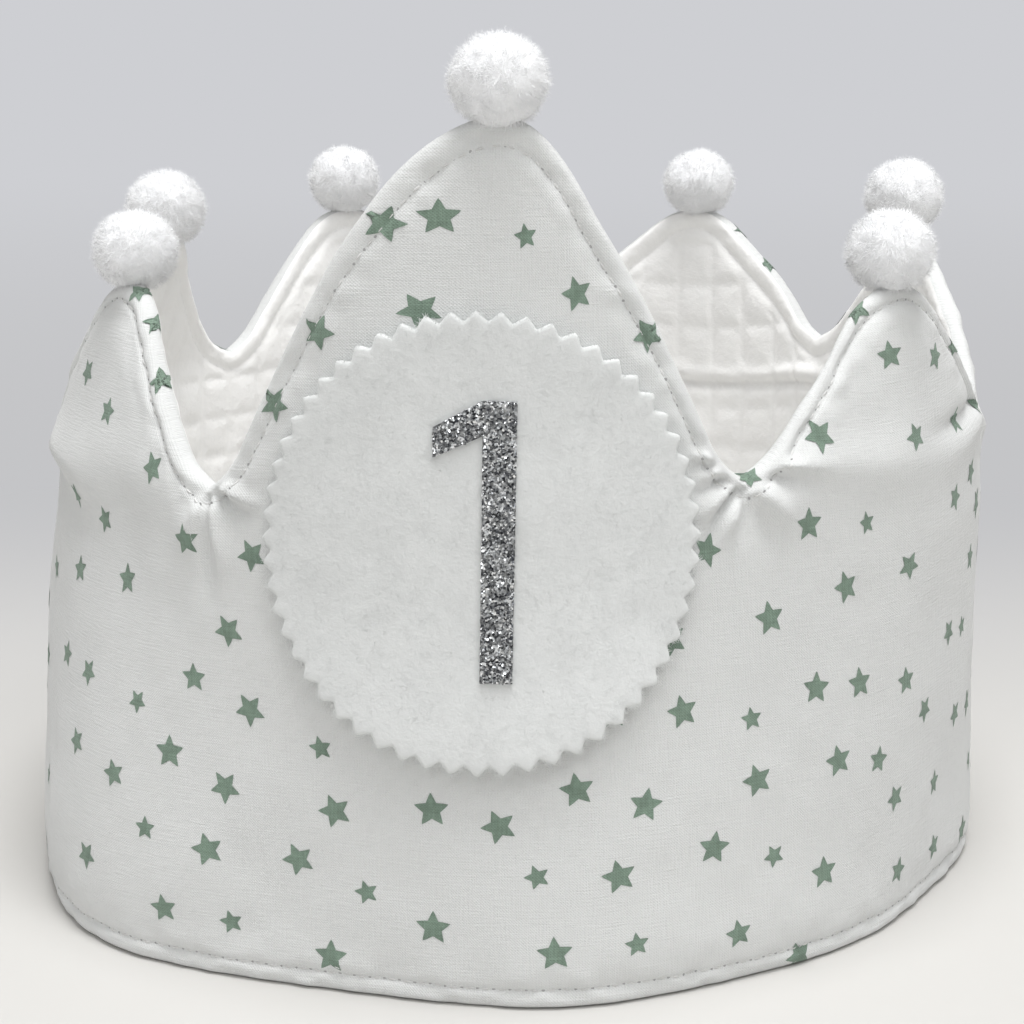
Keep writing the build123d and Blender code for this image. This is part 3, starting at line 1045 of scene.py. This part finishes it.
def make_number():
    verts, faces = [], []
    for corners in (STEM, FLAG):
        film_block(corners, verts, faces)
    film = new_object("number_film", verts, faces, silver_glitter)
    rng = np.random.default_rng(7)
    verts = []
    for corners in (STEM, FLAG):
        a, b, _, d = (np.array(corner) for corner in corners)
        area = abs((b - a)[0] * (d - a)[1] - (b - a)[1] * (d - a)[0])
        count = int(area * FLAKES_PER_MM2)
        flat = between(corners, rng.uniform(0.01, 0.99, count), rng.uniform(0, 1, count))
        lift = NUMBER_LIFT + rng.uniform(0.02, 0.16, count)
        middle = number_place(flat, lift)
        off = unit(number_place(flat, lift + 0.5) - middle)
        normal = unit(off + rng.normal(0, 0.33, (count, 3)))
        side = unit(np.cross(normal, rng.normal(0, 1, (count, 3))))
        up = np.cross(normal, side)
        size = FLAKE_SIZE * rng.uniform(0.6, 1.15, count)[:, None] * MM / 2
        reaches = [side + up * 0.6, -side * 0.3 + up, -side - up * 0.6, side * 0.3 - up]
        verts += list(np.stack([middle + reach * size for reach in reaches], 1).reshape(-1, 3))
    faces = np.arange(len(verts)).reshape(-1, 4)
    flakes = new_object("glitter_flakes", verts, faces, silver_glitter)
    flakes.data.polygons.foreach_set("use_smooth", [False] * len(faces))
    return film, flakes


number_film, glitter_flakes = make_number()

# Pom-poms: each is (radius to the ends of its fibres, height of its top over its middle,
# and how far round from its tip it hangs, in degrees)
POM_POMS = {
    "front": (7.4, 8.3, 0.0),
    "right_front": (7.2, 8.2, 0.0),
    "right_rear": (7.4, 6.1, 0.0),
    "back_right": (7.3, 8.0, 0.0),
    "back_left": (7.4, 7.4, 0.0),
    "left_rear": (7.6, 7.5, 2.0),
    "left_front": (7.0, 8.3, -1.2),
}
POM_CORE = 0.86
POM_FIBRES = 11500


def make_pom_pom(name, azimuth, seed):
    """A lumpy core covered with short fibres that lie over it, some standing off."""
    low, high = (np.array(corner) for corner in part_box("pom_pom_" + name))
    middle = (low + high) / 2
    radius, drop, hang = POM_POMS[name]
    middle[2] = high[2] - drop * MM
    off = shift(np.array([float(azimuth)]), np.array([VALLEY_HEIGHT]))[0] + hang
    middle = np.array(Matrix.Rotation(math.radians(off), 3, "Z") @ Vector(middle))
    rng = np.random.default_rng(seed)
    # The offset that noise_vector works with is random too
    noise.seed_set(seed)
    start = Vector(rng.uniform(-50, 50, 3))
    shape = bmesh.new()
    bmesh.ops.create_icosphere(shape, subdivisions=5, radius=1.0)
    directions = [v.co.normalized() for v in shape.verts]
    faces = [tuple(v.index for v in f.verts) for f in shape.faces]
    shape.free()
    scale = radius * MM * np.array([1.0, 1.0, 0.96])

    def bulge(way):
        return 0.055 * noise.noise(way * 1.7 + start) + 0.03 * noise.noise(way * 4.5 + start)

    verts = []
    for way in directions:
        tuft = 0.02 * noise.noise(way * 13 + start)
        verts.append(middle + np.array(way) * (POM_CORE + bulge(way) + tuft) * scale)

    way = unit(rng.normal(0, 1, (POM_FIBRES, 3)))
    lump = np.array([bulge(Vector(w)) for w in way])[:, None]
    lean = rng.normal(0, 1.0, (POM_FIBRES, 3))
    lean = lean + 1.6 * np.array([noise.noise_vector(Vector(w) * 3.4 + start) for w in way])
    lean = unit(lean - (lean * way).sum(-1, keepdims=True) * way)
    side = np.cross(way, lean)
    width = rng.uniform(0.014, 0.030, (POM_FIBRES, 1)) * MM
    reach = rng.uniform(0.05, 0.22, (POM_FIBRES, 1))
    climb = 0.04 + 0.12 * rng.beta(1.7, 2.2, (POM_FIBRES, 1))
    stray = rng.uniform(0, 1, (POM_FIBRES, 1)) > 0.92
    climb = np.where(stray, climb + 0.06, climb)
    foot = way * (POM_CORE - 0.02 + lump)
    rows = []
    for share, taper in ((0.0, 1.0), (0.55, 0.85)):
        line = middle + (foot + way * climb * share**0.8 + lean * reach * share) * scale
        rows += [line - side * width * taper, line + side * width * taper]
    rows.append(middle + (foot + way * climb + lean * reach) * scale)
    for a in range(len(verts), len(verts) + 5 * POM_FIBRES, 5):
        faces += [(a, a + 2, a + 3, a + 1), (a + 2, a + 4, a + 3)]
    verts += list(np.stack(rows, 1).reshape(-1, 3))
    return new_object("pom_pom_fluff_" + name, verts, faces, pom_pom_fibre)


pom_poms = {}
for k, (name, azimuth, _, _) in enumerate(POINTS):
    pom_poms[name] = make_pom_pom(name, azimuth, 100 + k)

# The closing at the back: starts and lengths are those of the part's source, which has
# them at the base's radius
STRAP_MIDDLE = 53.5
STRAP_HEIGHT = 36.0
STRAP_START = length_to(180.0 + math.degrees(9.0 / BASE_RADIUS))
STRAP_LENGTH = 69.0 / BASE_RADIUS * VALLEY_RADIUS
STRAP_ROOT = 9.0
STRAP_CORNER = 8.0
STRAP_STITCH_INSET = 2.5
STRAP_PRINT_MIDDLE = 60.0
STRAP_PRINT_MARGIN = 0.8
TAPE_START = length_to(180.0 - math.degrees(7.0 / BASE_RADIUS))
TAPE_LENGTH = 48.0 / BASE_RADIUS * VALLEY_RADIUS
TAPE_HEIGHT = 25.0
TAPE_CORNER = 1.5
TAPE_THICKNESS = 0.8


def rounded_outline(start, length, height, corner, step):
    """Anticlockwise outline, seen from outside, of a patch that runs back from a start."""
    arcs = []
    for k, (back, up) in enumerate(((0, 1), (1, 1), (1, -1), (0, -1))):
        turn = np.linspace(k, k + 1, max(4, int(corner * 1.6 / step)) + 1) * math.pi / 2
        s = start - corner - back * (length - 2 * corner)
        z = STRAP_MIDDLE + up * (height / 2 - corner)
        arcs.append(np.stack([s + corner * np.cos(turn), z + corner * np.sin(turn)], -1))
    points = []
    for arc, after in zip(arcs, arcs[1:] + arcs[:1]):
        gap = after[0] - arc[-1]
        count = int(np.hypot(*gap) / step + 1e-6)
        points += [arc, arc[-1] + gap * np.arange(1, count)[:, None] / count]
    return np.concatenate(points)


def level(height):
    return lambda s: np.full_like(s, height)


def make_patch(name, outline, back, front, roll, groove, material):
    """A flat cloth piece with rolled edges; back and front say how far out at s."""
    middle = outline.mean(0)
    near = np.hypot(*(outline - middle).T).min()
    steps = []
    for inset in [*np.linspace(near * 0.96, 5.0, 16), 4.2, 3.6, 3.1, 2.8, 2.5, 2.2, 1.9, 1.5, 1.0]:
        sink = groove * bell(inset - STRAP_STITCH_INSET, 0.5) + (0.1 * groove if inset > 3 else 0)
        steps.append((inset, front, sink))
    for inset, sink in ((0.45, 0.15), (0.12, 0.4), (0.0, 0.7)):
        steps.append((inset, front, sink * roll))
    for inset, sink in ((0.0, -0.45), (0.2, -0.15), (0.7, 0.0), (near * 0.8, 0.0)):
        steps.append((inset, back, sink * roll))
    rows = []
    for inset, face, sink in steps:
        share = 1 - inset / near
        s, z = (middle + (outline - middle) * share).T
        wave = 0.18 * soft_noise(s, z, 14, 31) * smooth(1.0, 5.0, inset)
        rows.append((share, -(face(s) - sink + wave)))
    return laid_piece(name, middle, outline, rows, material)


def strap_back(s):
    root = smooth(STRAP_START - STRAP_ROOT - 1.5, STRAP_START - STRAP_ROOT + 1.5, s)
    return 1.75 * (1 - root) + 0.1 * root


strap_front = level(3.25)
strap_outline = rounded_outline(STRAP_START, STRAP_LENGTH, STRAP_HEIGHT, STRAP_CORNER, 1.0)
tape_outline = rounded_outline(TAPE_START, TAPE_LENGTH, TAPE_HEIGHT, TAPE_CORNER, 1.2)
strap = make_patch(
    "closing_strap_cloth", strap_outline, strap_back, strap_front, 1.0, 0.35, printed_cotton
)
loop_tape, hook_tape = (
    make_patch(
        name, tape_outline, level(back), level(back + TAPE_THICKNESS), 0.3, 0.05, fastening_tape
    )
    for name, back in (("loop_tape_cloth", 0.05), ("hook_tape_cloth", 0.90))
)
strap_surface = surface_of(strap)
strap_centre = strap_outline.mean(0)


def near_strap(s, z):
    return place(s, z, -strap_front(s) - 0.2, steady=True)


def strap_spots():
    """The cover's stars that have room on the strap."""
    spots = []
    for s, z, radius, turn in star_list(STARS):
        z = z - STRAP_PRINT_MIDDLE
        room = min(STRAP_LENGTH / 2 - abs(s), STRAP_HEIGHT / 2 - abs(z))
        if room >= radius + STRAP_PRINT_MARGIN:
            spots.append((*(strap_centre + (s, z)), radius, turn, *FLAT_PRINT))
    return spots


def strap_dashes():
    """The row of stitches round the strap, and the ways off it."""
    line = strap_outline - strap_centre
    line = strap_centre + line * (1 - STRAP_STITCH_INSET / (STRAP_HEIGHT / 2))
    line = np.concatenate([line, line[:1]])
    arc = arc_lengths(np.hypot(*np.diff(line, axis=0).T))
    count = int(arc[-1] / STITCH_PITCH)
    t = np.linspace(0, 1, STITCH_STATIONS)
    share = (np.arange(count)[:, None] + STITCH_LENGTH * t) / count
    s, z = (np.interp(share * arc[-1], arc, part).ravel() for part in line.T)
    path = on_surface(strap_surface, place(s, z, -strap_front(s), steady=True), 0.02)
    path = np.array(path).reshape(count, -1, 3)
    return path, unit(path)


strap_stars = print_stars("strap_stars", strap_surface, strap_spots(), near_strap)
strap_stitching = new_object("strap_stitching", *thread_tubes(*strap_dashes()), sewing_thread)

# Each piece with its finish and the nodes that it stands for
FINISHES = [
    (cover, "printed_cotton", "outer_cover", "wadding"),
    (lining, "waffle_cotton", "lining"),
    (stars, "printed_cotton"),
    (topstitching, "printed_cotton"),
    (inner_topstitching, "waffle_cotton"),
    (strap_stars, "printed_cotton"),
    (strap_stitching, "printed_cotton"),
    (needle_shade_discs, "printed_cotton"),
    (badge, "white_felt", "felt_badge"),
    (felt_fibres, "white_felt"),
    (number_film, "silver_glitter", "number_one"),
    (glitter_flakes, "silver_glitter"),
    (strap, "printed_cotton", "closing_strap"),
    (loop_tape, "fastening_tape", "loop_tape"),
    (hook_tape, "fastening_tape", "hook_tape"),
]
FINISHES += [(fluff, "pom_pom_fibre", "pom_pom_" + name) for name, fluff in pom_poms.items()]
for piece, slot, *nodes in FINISHES:
    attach(piece, "root")
    if nodes:
        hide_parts(*nodes)

# Floor, backdrop, lamps and camera
FLOOR_SHADE = (0.60, 0.59, 0.57)
BACKDROP_SHADE = (0.617, 0.624, 0.651)
BACKDROP_LOW_SHADE = (0.553, 0.556, 0.570)
# The sweep, in metres: how far the floor reaches each way, where it bends up, and how round
FLOOR_REACH, BEND_START, BEND_RADIUS = 4.0, 1.6, 0.8


def floor_material():
    """Pale floor that keeps the shadow and fades into a glowing grey backdrop, with painted shade
    making it darker nearer the crown.
    """
    material, shader = new_material("floor", FLOOR_SHADE, 0.9)
    rays = add(material, "LightPath").outputs
    seen = maths(material, "ADD", rays["Is Camera Ray"], rays["Is Glossy Ray"])
    seen = maths(material, "ADD", seen, rays["Is Transmission Ray"])
    where = object_place(material)
    depth = add(material, "SeparateXYZ", {"Vector": where}).outputs[1]
    away = add(material, "VectorMath", {0: where}, operation="LENGTH").outputs["Value"]
    depth = maths(material, "MAXIMUM", depth, maths(material, "SUBTRACT", away, 0.5))

    def fade(low, high):
        ramp = {"Value": depth, 1: low, 2: high}
        return add(material, "MapRange", ramp, interpolation_type="SMOOTHSTEP").outputs[0]

    shades = {0: fade(0.22, 1.3), 6: (*BACKDROP_LOW_SHADE, 1), 7: (*BACKDROP_SHADE, 1)}
    shade = add(material, "Mix", shades, data_type="RGBA").outputs[2]
    far = {0: seen, 1: fade(-0.02, 0.26)}
    share = add(material, "Math", far, operation="MULTIPLY", use_clamp=True).outputs[0]
    glow = add(material, "Emission", {"Color": shade, "Strength": 1.0}).outputs[0]
    mixed = add(material, "MixShader", {0: share, 1: shader.outputs[0], 2: glow})
    end = material.node_tree.nodes["Material Output"]
    join(material, mixed.outputs[0], end.inputs["Surface"])
    return material


sweep = [(-FLOOR_REACH, 0.0), (BEND_START, 0.0)]
for a in np.linspace(0.1, math.pi / 2, 14):
    sweep.append((BEND_START + BEND_RADIUS * math.sin(a), BEND_RADIUS * (1 - math.cos(a))))
sweep.append((BEND_START + BEND_RADIUS, FLOOR_REACH))
floor_verts = [(x, y, z) for y, z in sweep for x in (-FLOOR_REACH, FLOOR_REACH)]
floor_faces = [(a, a + 1, a + 3, a + 2) for a in range(0, len(floor_verts) - 2, 2)]
floor = new_object("floor", floor_verts, floor_faces, floor_material())

# The sky lights the crown evenly, and a camera ray that misses the floor sees the backdrop
world = bpy.data.worlds.new("studio")
bpy.context.scene.world = world
world.use_nodes = True
sky = world.node_tree.nodes["Background"]
sky.inputs["Color"].default_value = (1.0, 1.0, 1.0, 1)
sky.inputs["Strength"].default_value = 0.47
seen_sky = add(world, "Background", {"Color": (*BACKDROP_SHADE, 1)}).outputs[0]
by_camera = add(world, "LightPath").outputs["Is Camera Ray"]
both_skies = add(world, "MixShader", {0: by_camera, 1: sky.outputs[0], 2: seen_sky}).outputs[0]
join(world, both_skies, world.node_tree.nodes["World Output"].inputs["Surface"])

for name, position, size, power in (
    ("key", (0.55, -0.75, 1.5), 0.8, 6.0),
    ("fill", (-0.25, -1.1, 1.0), 1.0, 2.6),
    ("top", (0.1, -0.2, 1.8), 0.8, 24.0),
):
    light = bpy.data.lights.new(name, "AREA")
    light.shape, light.size, light.energy = "DISK", size, power
    lamp = into_scene(bpy.data.objects.new(name, light))
    lamp.location = position
    direction = Vector((0, 0, 0.06)) - Vector(position)
    lamp.rotation_euler = direction.to_track_quat("-Z", "Y").to_euler()

camera_data = bpy.data.cameras.new("camera")
camera_data.sensor_width = SENSOR
camera_data.lens = FOCAL_PIXELS / PICTURE * SENSOR
camera_data.clip_start = 0.01
camera = into_scene(bpy.data.objects.new("camera", camera_data))
turn, pitch, roll = (math.radians(a) for a in (CAMERA_TURN, CAMERA_PITCH, CAMERA_ROLL))
right = Vector((1, 0, 0))
forward = Vector((0, math.cos(pitch), -math.sin(pitch)))
up = Vector((0, math.sin(pitch), math.cos(pitch)))
rolled_right = right * math.cos(roll) - up * math.sin(roll)
rolled_up = right * math.sin(roll) + up * math.cos(roll)
axes = Matrix((rolled_right, rolled_up, -forward)).transposed().to_4x4()
stand = Matrix.Translation((0, -CAMERA_DISTANCE * MM, CAMERA_HEIGHT * MM))
camera.matrix_world = Matrix.Rotation(turn, 4, "Z") @ stand @ axes
bpy.context.scene.camera = camera
bpy.context.scene.view_settings.view_transform = "Standard"

bpy.context.view_layer.update()
